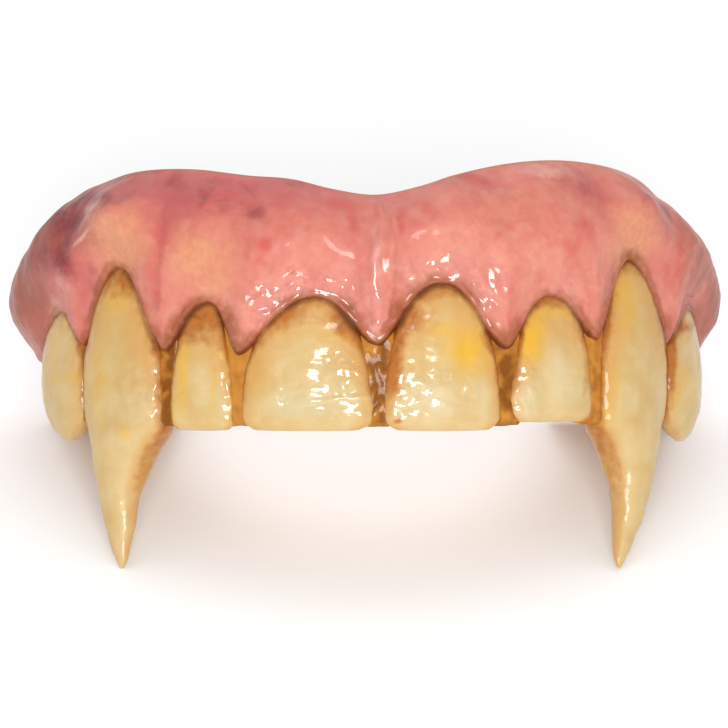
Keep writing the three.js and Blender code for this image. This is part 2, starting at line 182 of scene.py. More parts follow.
# Each socket: tooth, form, side, gap before it, width, heights of its edge, neck and gum point, how far off its
# middle the gum line tops out, and how far it stands out as a share of its depth.
crown_height, fang_drop, contact_gap = 11.5, -11.7, 0.8
central_width, lateral_width, fang_width, premolar_width = 10.5, 7.15, 9.3, 8.0
sockets, reached = {}, {-1: 0.0, 1: 0.0}
for tooth, form, side, gap, width, low, neck, point, apex, proud in (
    ("left_central_incisor", incisor_form, -1, 0.45, 1.05 * central_width, 0.0, 0.94, 0.6, 0.12, 0),
    ("left_lateral_incisor", incisor_form, -1, 1.0, 0.84 * lateral_width, 0.0, 0.91, 0.54, 0.25, 0),
    ("left_fang", fang_form, -1, 0.74, 0.985 * fang_width, fang_drop, 1.165, 0.56, -0.08, 0),
    ("left_premolar", premolar_form, -1, 0.4, premolar_width, -0.09 * crown_height, 0.84, 0.6, 0.05, 0),
    ("right_central_incisor", incisor_form, 1, 0.8, 0.94 * central_width, 0.0, 1.045, 0.6, 0.07, 0),
    ("right_lateral_incisor", incisor_form, 1, 1.35, 1.12 * lateral_width, 0.06 * crown_height, 0.95, 0.57, 0.16,
     0),
    ("right_fang", fang_form, 1, 1.0, 0.935 * fang_width, fang_drop, 1.225, 0.64, 0.2, 0),
    ("right_premolar", premolar_form, 1, 0.4, 1.04 * premolar_width, -0.1 * crown_height, 0.87, 0.6, 0.0, 0.12),
):
    start = reached[side] + gap * contact_gap
    reached[side] = start + width
    middle = side * (start + width / 2)
    sockets[tooth] = {
        "side": side, "start": start, "end": start + width, "half": width / 2, "middle": middle,
        "low": low, "high": neck * crown_height, "point": point * crown_height,
        "apex": middle - side * apex * width / 2, "form": form, "proud": proud,
    }
webs = []
for side in (-1, 1):
    row = [k for k in sockets.values() if k["side"] == side]
    webs += [side * (a["end"] + b["start"]) / 2 for a, b in zip(row, row[1:])]
webs.append((sockets["right_central_incisor"]["start"] - sockets["left_central_incisor"]["start"]) / 2)

def tooth_face(s, z):
    """How far out the front of the nearest tooth stands, and how far across it a place is: 1 at its side."""
    front_n, nearest = np.full(s.shape, -9.0), np.full(s.shape, 9.0)
    for k in sockets.values():
        depth, squareness, rows = k["form"]
        rows = np.array(rows)
        level = (z - k["low"]) / (k["high"] - k["low"])
        mesial, distal, front, back = (smooth_curve(rows[:, 0], rows[:, c])(level) for c in (1, 2, 3, 4))
        shift = k["middle"] - k["side"] * (mesial - distal) * k["half"] / 2
        across = np.abs(s - shift) / ((mesial + distal) * k["half"] / 2)
        deep = (front - back) * depth / 2
        bulge = np.clip(1 - np.clip(across, 0, 1) ** squareness, 0, 1) ** (1 / squareness)
        face = ((front + back) / 2 + k["proud"]) * depth + deep * bulge
        here = (level > -0.03) & (level < 1.12)
        front_n = np.where(here & (across < 1), np.maximum(front_n, face), front_n)
        nearest = np.where(here, np.minimum(nearest, across), nearest)
    return front_n, nearest


# The gum's top edge along the arch, and below it the tray's walls and floors.
gum_height = 22.5
top_edge = smooth_curve(
    half_arch * np.array([-1, -.9, -.8, -.7, -.6, -.5, -.36, -.24, -.16, -.08, 0,
                          .08, .15, .25, .34, .43, .55, .67, .8, .9, 1]),
    gum_height * np.array([.6, .7, .81, .894, .932, .967, .97, .942, .928, .89, .869,
                     .9, .944, .987, 1.005, 1.002, .972, .902, .77, .69, .6]),
)
tray_front, tray_wall, channel_width, inner_wall = -1.0, 2.4, 7.5, 1.8
channel_front = tray_front - tray_wall
channel_back = channel_front - channel_width
tray_back = channel_back - inner_wall
tray_bottom, channel_floor, border_depth = 0.6, 2.9, 5.0


def rounded(corners, radius, steps=5):
    """A closed outline through corners, each turned on a small radius."""
    corners = np.asarray(corners, float)
    outline = []
    for before, here, after in zip(np.roll(corners, 1, 0), corners, np.roll(corners, -1, 0)):
        arrive, leave = before - here, after - here
        reach = [min(radius, 0.45 * np.linalg.norm(v)) for v in (arrive, leave)]
        a, b = (here + r * v / np.linalg.norm(v) for r, v in zip(reach, (arrive, leave)))
        for t in np.linspace(0, 1, steps):
            outline.append((1 - t) ** 2 * a + 2 * t * (1 - t) * here + t * t * b)
    return np.array(outline)


def filled(outline, most):
    """The outline with points added until none stand further apart than most, or half that in front."""
    points = []
    for a, b in zip(outline, np.roll(outline, -1, 0)):
        on_front = min(a[0], b[0]) > tray_front - 0.1
        count = max(1, math.ceil(np.linalg.norm(b - a) / (most / 2 if on_front else most)))
        points += [a + (b - a) * t / count for t in range(count)]
    return np.array(points)


def tray_section(s):
    wall_top, inner_top = top_edge(s) - border_depth, channel_floor + 3.2
    corners = [
        (tray_front, wall_top), (channel_front, wall_top), (channel_front, channel_floor),
        (channel_back, channel_floor), (channel_back - 0.15, inner_top), (tray_back + 0.15, inner_top),
        (tray_back, tray_bottom), (tray_front, tray_bottom),
    ]
    return filled(rounded(corners, 0.8), 0.55)


# Every section has the points of the one at the midline, so the wall's points spread as it grows.
pattern = tray_section(0.0)
wall_low, wall_high = channel_floor + 1.5, pattern[:, 1].max()
tray_places = np.linspace(-half_arch, half_arch, 541)
tray_n = np.tile(pattern[:, 0], (len(tray_places), 1))
tray_z = np.tile(pattern[:, 1], (len(tray_places), 1))
on_wall = (pattern[:, 0] > channel_front - 0.2) & (pattern[:, 1] > wall_low)
for i, s in enumerate(tray_places):
    grow = (top_edge(s) - border_depth - wall_low) / (wall_high - wall_low)
    tray_z[i, on_wall] = wall_low + (pattern[on_wall, 1] - wall_low) * grow
tray_s = np.repeat(tray_places[:, None], len(pattern), 1)
tray_rings = on_arch(tray_s, tray_n, tray_z)
tray_out = outwards(tray_rings)
# Stain and gloss fill the gaps between the teeth in a hollow fillet, with dried beads in it.
front_face = ease(tray_n, tray_front - 0.6, tray_front - 0.05)
_, to_tooth = tooth_face(tray_s, tray_z)
in_web = front_face * ease(to_tooth, 0.78, 0.93) * np.max([bell(tray_s - web, 2.6) for web in webs], 0)
# How thick the beads stand and how dark the stain lies in each gap, in the order of the gaps.
gap_beads = (0.1, 0.2, 0.1, 0.14, 0.2, 0.1, 0.22)
gap_stain = (0.25, 0.95, 0.5, 0.8, 0.35, 0.15, 0.85)
beading, darkness = (sum(share * bell(tray_s - web, 1.5) for share, web in zip(shares, webs))
                     for shares in (gap_beads, gap_stain))
beads = np.maximum(0, lumps(tray_rings, 1.1, 1)) + 0.6 * np.maximum(0, lumps(tray_rings, 0.6, 2))
fillet = 0.82 + 0.14 * bell(to_tooth - 0.95, 0.12) + beading * beads
tray_rise = 0.04 * lumps(tray_rings, 2.5, 3) + in_web * fillet
tray_rise *= 1 - 0.8 * ease(np.abs(tray_s), half_arch - 1.5, half_arch)
tray_rings = tray_rings + tray_out * tray_rise[..., None]


def paint(red, green, blue):
    """A mixed paint, given as it looks in the bright studio, so its pigment is a little darker."""
    return [0.72 * ((c / 255 + 0.055) / 1.055) ** 2.4 for c in (red, green, blue)] + [1]


def node(tree, kind, inputs=(), **settings):
    made = tree.nodes.new("ShaderNode" + kind)
    for key, value in settings.items():
        setattr(made, key, value)
    for key, value in dict(inputs).items():
        if isinstance(value, bpy.types.NodeSocket):
            tree.links.new(value, made.inputs[key])
        else:
            made.inputs[key].default_value = value
    return made


def effect(name, takes, gives):
    """An empty shader node group with named number inputs and outputs."""
    group = bpy.data.node_groups.new(name, "ShaderNodeTree")
    for key, value in takes.items():
        group.interface.new_socket(key, in_out="INPUT", socket_type="NodeSocketFloat").default_value = value
    for key in gives:
        group.interface.new_socket(key, in_out="OUTPUT", socket_type="NodeSocketFloat")
    return group, group.nodes.new("NodeGroupInput").outputs, group.nodes.new("NodeGroupOutput").inputs


def speckle(tree, size, detail=2.0, seed=0.0):
    """Cloudy noise from 0 to 1 over the piece, its spots about size millimetres across."""
    place = node(tree, "TexCoord").outputs["Object"]
    moved = node(tree, "VectorMath", {0: place, 1: (seed, seed, seed)}, operation="ADD").outputs[0]
    per_metre = node(tree, "Math", {0: 1000.0, 1: size}, operation="DIVIDE").outputs[0]
    return node(tree, "TexNoise", {"Vector": moved, "Scale": per_metre, "Detail": detail}).outputs[0]


# Mottle: clouds of a second shade. Contrast sharpens them.
mottle, takes, gives = effect("Mottle", {"Spot Size": 2.0, "Contrast": 3.0, "Cover": 0.5}, ["Mask"])
clouds = speckle(mottle, takes["Spot Size"], 3.0, 0.013)
less = node(mottle, "Math", {0: 1.0, 1: takes["Cover"]}, operation="SUBTRACT").outputs[0]
centred = node(mottle, "Math", {0: clouds, 1: less}, operation="SUBTRACT").outputs[0]
spread = node(
    mottle, "Math", {0: centred, 1: takes["Contrast"], 2: 0.5}, operation="MULTIPLY_ADD", use_clamp=True
)
mottle.links.new(spread.outputs[0], gives["Mask"])

# Stain edge: a painted mask whose edge is broken up as a thin wash dries.
stain_edge, takes, gives = effect(
    "Stain Edge", {"Mask": 0.0, "Spot Size": 1.0, "Raggedness": 0.5, "Sharpness": 1.5}, ["Mask"]
)
clouds = speckle(stain_edge, takes["Spot Size"], 3.0, 0.031)
centred = node(stain_edge, "Math", {0: clouds, 1: 0.5}, operation="SUBTRACT").outputs[0]
ragged = node(
    stain_edge, "Math", {0: centred, 1: takes["Raggedness"], 2: takes["Mask"]}, operation="MULTIPLY_ADD"
).outputs[0]
about_half = node(stain_edge, "Math", {0: ragged, 1: 0.5}, operation="SUBTRACT").outputs[0]
sharp = node(
    stain_edge, "Math", {0: about_half, 1: takes["Sharpness"], 2: 0.5}, operation="MULTIPLY_ADD", use_clamp=True
)
# Where no paint was laid there is none, whatever the noise says.
laid = node(stain_edge, "Math", {0: takes["Mask"], 1: 6.0}, operation="MULTIPLY", use_clamp=True).outputs[0]
kept = node(stain_edge, "Math", {0: sharp.outputs[0], 1: laid}, operation="MULTIPLY").outputs[0]
stain_edge.links.new(kept, gives["Mask"])

# Wet skin: the uneven surface of a brushed-on clear coat, as a height.
wet_skin, takes, gives = effect("Wet Skin", {"Ripple Size": 1.0, "Fine Share": 0.4}, ["Height"])
broad = speckle(wet_skin, takes["Ripple Size"], 1.0, 0.007)
third = node(wet_skin, "Math", {0: takes["Ripple Size"], 1: 0.35}, operation="MULTIPLY").outputs[0]
fine = speckle(wet_skin, third, 1.0, 0.051)
height = node(wet_skin, "Math", {0: fine, 1: takes["Fine Share"], 2: broad}, operation="MULTIPLY_ADD")
wet_skin.links.new(height.outputs[0], gives["Height"])


def placed(tree, group, **inputs):
    """An effect set into a material with its own values."""
    made = tree.nodes.new("ShaderNodeGroup")
    made.node_tree = group
    for key, value in inputs.items():
        socket = made.inputs[key.replace("_", " ")]
        if isinstance(value, bpy.types.NodeSocket):
            tree.links.new(value, socket)
        else:
            socket.default_value = value
    return made.outputs[0]


def over(tree, under, colour, mask, strength=1.0):
    """One wash of colour laid over another through a mask."""
    if strength != 1.0:
        mask = node(tree, "Math", {0: mask, 1: strength}, operation="MULTIPLY").outputs[0]
    return node(tree, "Mix", {0: mask, 6: under, 7: colour}, data_type="RGBA").outputs[2]


def painted_mask(tree, name):
    return node(tree, "Attribute", attribute_name=name).outputs["Fac"]


def dried(tree, name, size, raggedness, sharpness):
    """A painted mask with the broken edge of a dried wash."""
    mask = painted_mask(tree, name)
    return placed(tree, stain_edge, Mask=mask, Spot_Size=size, Raggedness=raggedness, Sharpness=sharpness)


def acrylic(name, roughness, coat_roughness, subsurface):
    """A cast acrylic under clear gloss, with its node tree and shader."""
    material = bpy.data.materials.new(name)
    material.use_nodes = True
    tree = material.node_tree
    shader = tree.nodes["Principled BSDF"]
    shader.inputs["Roughness"].default_value = roughness
    shader.inputs["IOR"].default_value = 1.4
    shader.inputs["Specular IOR Level"].default_value = 0.25
    shader.inputs["Coat Weight"].default_value = 1.0
    shader.inputs["Coat Roughness"].default_value = coat_roughness
    shader.inputs["Coat IOR"].default_value = 1.58
    shader.inputs["Subsurface Weight"].default_value = subsurface
    shader.inputs["Subsurface Radius"].default_value = (1.0, 0.45, 0.25)
    shader.inputs["Subsurface Scale"].default_value = 0.0012
    return material, tree, shader


stained_tray, tree, shader = acrylic("stained_tray", 0.4, 0.1, 0.0)
colour = over(tree, paint(222, 164, 90), paint(200, 136, 62), placed(tree, mottle, Spot_Size=3.0, Contrast=3.0))
colour = over(tree, colour, paint(206, 136, 54), dried(tree, "stain", 0.8, 0.5, 1.6))
specks = placed(tree, mottle, Spot_Size=1.2, Contrast=3.0, Cover=0.4)
colour = over(tree, colour, paint(160, 92, 26), specks, 0.45)
colour = over(tree, colour, paint(124, 66, 8), dried(tree, "pool", 0.6, 0.7, 1.5), 0.85)
tree.links.new(colour, shader.inputs["Base Color"])
height = placed(tree, wet_skin, Ripple_Size=0.9, Fine_Share=0.5)
shader.inputs["Specular IOR Level"].default_value = 0.05
shader.inputs["Coat Weight"].default_value = 0.2
bump = node(tree, "Bump", {"Height": height, "Distance": 0.00016, "Strength": 0.3})
tree.links.new(bump.outputs[0], shader.inputs["Normal"])

tray_stain = np.clip(front_face * (0.55 + 0.25 * in_web), 0, 1)
tray_pool = front_face * np.clip(darkness * (1.1 - beads), 0, 1)
tray = skin("dressed_tray", tray_rings, {"stain": tray_stain, "pool": tray_pool}, stained_tray)
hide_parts("tray")


# ---- Teeth ----
# Eight solid acrylic crowns, four incisors, two long fangs and two premolars, cast in ivory and
# glued in their sockets. Amber, yellow and brown washes were brushed down from the gum under a wet gloss.

rear_margin = 5.3
scallops = []
for side in (-1, 1):
    row = [k for k in sockets.values() if k["side"] == side]
    for before, here, after in zip([None] + row, row, row[1:] + [None]):
        scallops.append((
            side,
            0 if before is None else (before["end"] + here["start"]) / 2,
            here["end"] + contact_gap if after is None else (here["end"] + after["start"]) / 2,
            abs(here["apex"]), here["point"], here["high"], rear_margin if after is None else after["point"],
        ))


def gum_line(s):
    """The height where the gum ends on the teeth, arched over each tooth and pointed between them."""
    s = np.asarray(s, float)
    side, place = np.where(s < 0, -1, 1), np.abs(s)
    height = np.full(s.shape, rear_margin)
    for its_side, start, end, apex, first, top, last in scallops:
        here = (side == its_side) & (place >= start) & (place <= end)
        outer = place > apex
        away = np.where(outer, (place - apex) / (end - apex), (apex - place) / (apex - start))
        arch = top + (np.where(outer, last, first) - top) * ease(np.abs(away) ** 1.25, 0, 1)
        height = np.where(here, arch, height)
    wave = lumps(np.stack([s, s * 0, s * 0], -1), 1.6, 4)
    return height + 0.16 * wave


line_places = np.linspace(-half_arch, half_arch, 6001)
line_heights = gum_line(line_places)
line_tree = KDTree(len(line_places))
for k, (s, z) in enumerate(zip(line_places, line_heights)):
    line_tree.insert((s, z, 0), k)
line_tree.balance()


def above_gum_line(s, z):
    """Distance from the gum line along the surface, below nought on the teeth's side of it."""
    away = np.array([line_tree.find((a, b, 0))[2] for a, b in zip(s.ravel(), z.ravel())]).reshape(s.shape)
    return np.where(z >= np.interp(s, line_places, line_heights), away, -away)


def brushed(touches, s, z, points):
    """The mask of one kind of stain: where each touch of the brush was laid, pulled about as paint runs."""
    s = s + 0.35 * lumps(points, 1.7, 5) + 0.15 * lumps(points, 0.6, 6)
    z = z + 0.35 * lumps(points, 1.9, 7) + 0.15 * lumps(points, 0.7, 8)
    bare = 1.0
    for at_s, at_z, wide, tall, strength in touches:
        bare = bare * (1 - strength * np.exp(-(((s - at_s) / wide) ** 2) - ((z - at_z) / tall) ** 2))
    return 1 - bare


# The touches of each stain on the teeth: place along the arch, height, how wide and how tall, and strength.
# Wet is where the clear gloss went on thick, and rough is where it dried in crumbs.
tooth_stains = {
    "yellow": (
        (7.5, 6.6, 1.9, 2.2, .9), (5.2, 8.3, 1.8, .8, .5), (13, 7.6, 1.6, 2.2, 1), (15.8, 9.8, 2, .7, .5),
        (-16.7, 4.8, .8, 3.3, .7), (-13.8, 2.9, .4, 2.5, .6), (-12.4, 6.6, .9, 1.7, .5),
        (-18.1, 1.4, 1, 1.2, .6), (-22, -.3, .6, .7, .6), (-23.4, 10.9, 1.8, 2, .5),
        (23.1, 10.9, 1.7, 2.8, .5), (32.5, 3.6, 4.1, 2.5, .4), (-3.8, 7.9, 3.3, 1, .35),
        (20.6, 2.4, 1.3, 4.1, .4), (-24.8, 4.1, 1.2, 4.1, .35), (-30.1, 4.3, 3.1, .6, .5),
        (-32.3, 7.1, 1, 2.1, .5),
    ),
    "brown": (
        (-14.6, 9.3, 2.4, 1.3, 1), (-14.5, 7.5, 1.6, .7, .5), (-7.7, 9.1, 2.2, .8, .6),
        (-2.9, 8.9, 1.5, 1, .6), (2.9, 9, 2, 1.5, .55), (1.3, 4.8, .7, 2.5, 1), (1.6, .7, .4, .2, .9),
        (10.3, 6.6, .5, 2.5, .7), (13.9, 10.8, 2.4, .6, .8), (11.7, 6.2, .6, 2.3, .8),
        (-23.1, 12.6, 2.8, 1.4, .65), (20.1, 10.8, 1, 3.2, .8), (22.6, 14.2, 1.6, .8, .6),
        (29.3, 5.6, .9, 2, .9), (32.5, 8.8, 4.1, .5, .6), (-18.4, 7, .8, 1.3, .7),
        (-18.1, 3.2, .45, 3.2, .8), (-18.6, 9.4, .5, 1.8, .5), (-11.7, 4.5, .5, 2.5, .7),
        (18.8, 4.8, .8, 2.5, .4),
    ),
    "pale": (
        (4.6, 2.4, 2.4, 1.7, .9), (12.1, 2.7, 1.2, 2.2, .9), (15.6, 4.5, 2.1, 2.5, .7),
        (-4.8, 2.6, 3.9, 1.5, .5), (-14.6, 3.7, 1.3, 2.2, .35), (-22.3, -8.9, 1.5, 3.8, .6),
        (21.6, -9, 1.6, 3.8, .6), (-30.5, 7.5, 2.8, 1.3, .7), (31.8, 6.5, 3.5, 1.2, .5),
        (-19.4, 2.4, 1.2, 2.2, .4), (9, 2.5, 1, 1.7, .5),
    ),
    "grey": (
        (-6.3, 1.8, 3.8, 1.1, .6), (-13.7, 2.6, .8, 1.8, .5), (17.3, 2.6, 1.2, 1.7, .4),
        (1.9, 1.5, 1, .8, .3), (-2.6, 5, 1.1, 2.5, .25),
    ),
    "wet": (
        (-4.3, 4.3, 3.3, 2.2, .8), (-2.6, 3.7, 1.3, 2.5, 1), (-6.3, 2.7, 2.5, 1, .9),
        (4.7, 2.9, 2.5, 2.2, 1), (7.7, 2.9, 1.2, 1.8, .6), (-12.1, 3.7, .8, 2.5, 1),
        (-12.7, 8.3, .5, 1.5, .5), (-19.9, 2.9, 2.4, 2.8, 1), (-22, -.9, 1.3, 1.7, .6),
        (12.4, 3.2, 1.5, 2.4, 1), (17.3, 8.3, 1, 2.5, .4), (21.5, -4.3, 1.1, 2.3, .8),
        (19.5, 2.4, .6, 1.7, .5), (2.5, 2.9, 1.1, 2, .8), (26.9, 2.4, .9, 1.7, .3),
    ),
    "rough": (
        (-19.8, 3, 2.2, 2.6, 1), (12.4, 3, 1.1, 2.3, 1), (-12.2, 3, .8, 2.4, .7), (-1.1, 3.3, .8, 2.4, .8),
        (21.6, -4.5, .8, 2.5, .6), (19.6, 2.6, .8, 2, .6),
    ),
}
# Where the brown wash round the teeth was left thick, on tooth and gum alike.
rim_stains = (
    (-2.2, 8.7, 1.4, 2.2, 1), (1.8, 8.7, 1.1, 2.2, 1), (4.9, 11.6, 2.7, 1.2, .8), (-12.2, 8.7, 1, 1.8, 1),
    (-18, 7, 1.3, 1.2, 1), (9.6, 7, 1, 1.3, .9), (-6.1, 10.3, 2.4, .8, .6), (20.1, 10.8, 1.1, 3.3, .5),
    (-24.8, 9.6, .9, 2, .4), (.2, 7, 1.3, 1, 1), (-14.8, 9.1, 1.2, 1.2, .3), (-8.9, 7, 1.1, 1.2, .5),
    (-11.7, 7, 1.3, 1.3, .9), (11, 7, 1.2, 1.3, .9), (18.7, 7.4, 1.2, 1.3, .9), (26.2, 7, 1.4, 1.2, .8),
    (-27.3, 6.6, 1.4, 1.1, .8), (-22.6, 12.6, 1, .8, .5), (-16.6, 8.6, 1.5, 1.5, .8),
    (-14.8, 9.9, 1.5, .9, .7), (22.5, 14.8, 2, 1.2, .7), (24.4, 12, .8, 2.2, .4),
    (20.9, 12.8, .8, 1.6, .5), (11.6, 8.3, .9, 1.7, .6), (17.5, 8.7, 1, 1.7, .4), (28.8, 8.8, 2, 1.3, .6),
)
# Runs of thick gloss, each a line of (s, z) places, its height and its width.
gloss_runs = (
    (((-4.2, 6.0), (-4.1, 2.3)), .1, .14), (((-5.3, 2.3), (-3.0, 2.6), (-.6, 2.7)), .12, .22),
    (((-6.5, 4.5), (-5.7, 5.2)), .1, .2), (((-7.7, 2.5), (-6.1, 2.1)), .1, .2),
    (((-3.2, 4.8), (-2.6, 3.0)), .1, .2),
    (((-12.6, 4.1), (-12.2, 1.5)), .12, .18), (((11.2, 1.5), (12.0, 3.5), (13.1, 4.8)), .12, .25),
    (((3.5, 4.1), (4.8, 2.6), (6.2, 1.8)), .1, .25), (((3.3, 2.3), (5.7, 3.8)), .1, .2),
    (((-20.8, 4.8), (-19.7, 3.1), (-18.9, 1.4)), .12, .25), (((-22.1, 4.1), (-21.4, 1.6)), .1, .22),
    (((22.5, -2.2), (21.9, -4.3), (21.5, -6.4)), .1, .2),
)


def from_line(line, s, z):
    """Distance from a brushed or modelled line, given as places along the arch."""
    nearest = np.full(s.shape, 99.0)
    for (s0, z0), (s1, z1) in zip(line, line[1:]):
        long = (s1 - s0) ** 2 + (z1 - z0) ** 2
        t = np.clip(((s - s0) * (s1 - s0) + (z - z0) * (z1 - z0)) / long, 0, 1)
        nearest = np.minimum(nearest, np.hypot(s - s0 - t * (s1 - s0), z - z0 - t * (z1 - z0)))
    return nearest


ivory_tooth, tree, shader = acrylic("ivory_tooth", 0.3, 0.07, 0.25)
clouded = placed(tree, mottle, Spot_Size=2.4, Contrast=2.5)
colour = over(tree, paint(224, 196, 142), paint(216, 178, 112), clouded)
colour = over(tree, colour, paint(204, 180, 118), painted_mask(tree, "streak"), 0.3)
colour = over(tree, colour, paint(230, 212, 170), dried(tree, "pale", 1.2, 0.5, 1.2), 0.75)
colour = over(tree, colour, paint(204, 194, 152), dried(tree, "grey", 1.4, 0.4, 1.2), 0.8)
colour = over(tree, colour, paint(216, 154, 74), dried(tree, "amber", 1.6, 0.45, 1.3), 0.65)
colour = over(tree, colour, paint(236, 182, 36), dried(tree, "yellow", 1.2, 0.4, 1.3), 0.8)
browned = dried(tree, "brown", 0.8, 0.7, 1.5)
colour = over(tree, colour, paint(184, 102, 20), browned, 0.85)
thicker = placed(tree, mottle, Spot_Size=0.7, Contrast=4.0, Cover=0.4)
thick_brown = node(tree, "Math", {0: thicker, 1: browned}, operation="MULTIPLY").outputs[0]
colour = over(tree, colour, paint(136, 72, 10), thick_brown, 0.55)
# The darkest brown at the gum line: stain left thick there, and painted shade of the crevice where gum meets
# tooth.
colour = over(tree, colour, paint(104, 48, 8), dried(tree, "margin_stain_and_shade", 0.9, 0.7, 1.3), 0.85)
tree.links.new(colour, shader.inputs["Base Color"])
brushed_gloss = node(tree, "Math", {0: painted_mask(tree, "wet"), 1: 0.8, 2: 0.2}, operation="MULTIPLY_ADD")
tree.links.new(brushed_gloss.outputs[0], shader.inputs["Coat Weight"])
height = placed(tree, wet_skin, Ripple_Size=0.8, Fine_Share=0.6)
height = node(tree, "Math", {0: height, 1: brushed_gloss.outputs[0]}, operation="MULTIPLY").outputs[0]
bump = node(tree, "Bump", {"Height": height, "Distance": 0.0003, "Strength": 0.32})
tree.links.new(bump.outputs[0], shader.inputs["Normal"])

# How far each tooth's tip hooks to the midline, as a share of half its width.
tip_hooks = {"left_fang": -0.05, "left_premolar": 0.1, "right_fang": 0.42, "right_premolar": -0.05}
for number, (name, socket) in enumerate(sockets.items()):
    form, proud, hook = socket["form"], socket["proud"], tip_hooks.get(name, 0)
    depth, squareness, rows = form
    rows = np.array(rows)
    levels = rows[-1, 0] * np.linspace(0, 1, 121)[:, None] ** 1.35
    mesial, distal, front, back = (smooth_curve(rows[:, 0], rows[:, k])(levels) for k in (1, 2, 3, 4))
    half, side = socket["half"], socket["side"]
    around = np.linspace(0, 2 * math.pi, 128, endpoint=False)[None, :]
    drift = hook * half * np.maximum(0, 1 - 2 * levels) ** 2 + (mesial - distal) * half / 2
    across, deep = (mesial + distal) * half / 2, (front - back) * depth / 2
    x = np.sign(np.cos(around)) * np.abs(np.cos(around)) ** (2 / squareness)
    y = np.sign(np.sin(around)) * np.abs(np.sin(around)) ** (2 / squareness)
    x, y = -side * drift + x * across, -((front + back) / 2 + proud) * depth + y * deep
    z = socket["low"] + (socket["high"] - socket["low"]) * levels + 0 * x
    drift_all, across_all = (np.vstack([v[:1]] * 4 + [v]) for v in (drift, across))
    # The edge is rounded over by a few rings drawn in below it.
    turns = np.radians([86, 72, 50, 25])[:, None]
    x, y = (np.vstack([v[0].mean() + (v[:1] - v[0].mean()) * np.cos(turns), v]) for v in (x, y))
    z = np.vstack([z[:1] - 0.12 * np.sin(turns), z])
    tangent = on_arch(socket["middle"] + 0.01, 0, 0) - on_arch(socket["middle"] - 0.01, 0, 0)
    tangent /= np.linalg.norm(tangent)
    inwards = np.array([-tangent[1], tangent[0], 0])
    rings = on_arch(socket["middle"], 0, 0) + x[..., None] * tangent + y[..., None] * inwards
    rings[..., 2] = z
    s = socket["middle"] + x
    level = (z - socket["low"]) / (socket["high"] - socket["low"])
    out = outwards(rings)
    facing = np.clip(-np.sum(out * inwards, -1), 0, 1)
    # Cast faces are uneven: broad swells, small pits and, on incisors, two shallow grooves.
    rise = 0.10 * lumps(rings, 2.8, 9 + number) + 0.05 * lumps(rings, 1.2, 10) + 0.02 * lumps(rings, 0.55, 12)
    if form is incisor_form:
        grooves = bell(x - 0.33 * half, 0.6) + bell(x + 0.33 * half, 0.6)
        rise -= 0.09 * facing * grooves * ease(level, 0.0, 0.2) * (1 - ease(level, 0.6, 0.9))
    masks = {kind: brushed(touches, s, z, rings) for kind, touches in tooth_stains.items() if kind != "rough"}
    masks["streak"] = np.clip(0.5 + 0.6 * lumps(np.stack([x, y, 0.15 * z], -1), 0.5, 16), 0, 1)
    rough = brushed(tooth_stains["rough"], s, z, rings)
    rise += rough * facing * (0.14 * lumps(rings, 0.95, 17) + 0.07 * lumps(rings, 0.6, 18))
    rise += masks["wet"] * facing * (0.1 * lumps(rings, 1.0, 13) + 0.06 * lumps(rings, 0.6, 14))
    wander = 0.15 * lumps(rings, 0.8, 15)
    for run, tall, wide in gloss_runs:
        rise += facing * tall * bell(from_line(run, s + wander, z + wander), wide)
    narrow = np.clip((level - level.min()) * 14, 0.15, 1)
    rings = rings + out * (rise * narrow)[..., None]
    under_gum = np.minimum(0, above_gum_line(s, z))
    thick = brushed(rim_stains, s, z, rings)
    edgewise = np.abs(x + side * drift_all) / across_all
    laid_on = 0.6 if form is premolar_form else 1.0
    masks["amber"] = laid_on * np.clip(bell(under_gum, 3.0) * 0.9 + ease(edgewise, 0.66, 1.0) * 0.75, 0, 1)
    # Along the gum line: stain left thick, and painted shade of the crevice between gum and tooth.
    masks["margin_stain_and_shade"] = bell(under_gum, 0.2 + 0.2 * thick) * (0.5 + 0.5 * thick)
    stained_from = 0.3 if form is fang_form else 0.0
    back_of_edge = (1 - ease(facing, 0.05, 0.5)) * ease(level, stained_from, 0.6 if form is fang_form else 0.3)
    beside_gap = 0.5 * ease(edgewise, 0.84, 1.0) * ease(level, 0.1, 0.4)
    rimmed = (0.35 + 0.5 * thick) * bell(under_gum, 0.6 + 0.8 * thick)
    masks["brown"] = np.clip(masks["brown"] + rimmed + beside_gap + 0.5 * back_of_edge, 0, 1)
    piece = skin("dressed_" + name, rings, masks, ivory_tooth)
    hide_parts(name)


# ---- Gum ----
# One cast flange of pink acrylic that laps the tray's front wall and grips every tooth. It was sponged with
# rose, peach and purple, a brown wash was run round each tooth, and thick clear gloss was brushed over it all.
# Over that lie painted shade on the far flanks and in the crevice at each tooth, and painted highlights on
# ridges.

gum_back, fit, end_round = 0.7, 0.3, 3.0
turned = np.sin(np.linspace(0, math.pi / 2, 20))[1:]
straight = half_arch - end_round
gum_places = np.concatenate([-straight - end_round * turned[::-1], np.linspace(-straight, straight, 601),
                             straight + end_round * turned])
roots = [(k["apex"], k["half"], 1.0 if "fang" in n else 0.45 if "premolar" in n else 0.35)
         for n, k in sockets.items()]


def gum_face(s, rise):
    """How far the flange's face stands out of the tooth faces, at a share of its rise."""
    rear = ease(np.abs(s) / half_arch, 0.6, 0.86)
    lip = 1.45 + (tray_front + fit - 1.45) * rear
    body = 1.5 + 0.9 * rear
    crest = (tray_front + channel_front) / 2
    low = np.maximum(0, 1 - rise / 0.4) ** 2
    high = np.maximum(0, (rise - 0.45) / 0.55) ** 2.6
    swell = 0.7 * sum(share * bell(s - apex, 0.8 * half) for apex, half, share in roots) * (1 - rear)
    relief = (swell + 0.6 * bell(s - 0.65, 1.3)) * np.sin(math.pi * rise)
    return body + (lip - body) * low + (crest - body) * high + relief * (1 - high)


face_rows, back_rows = 112, 7
rises = np.linspace(0, 1, face_rows)[None, :] ** 1.2
s = np.repeat(gum_places[:, None], face_rows, 1)
bottom, top = gum_line(gum_places)[:, None], top_edge(gum_places)[:, None]
face_z = bottom + (top - bottom) * rises
face_n = gum_face(s, rises)
past_line = above_gum_line(s, face_z)
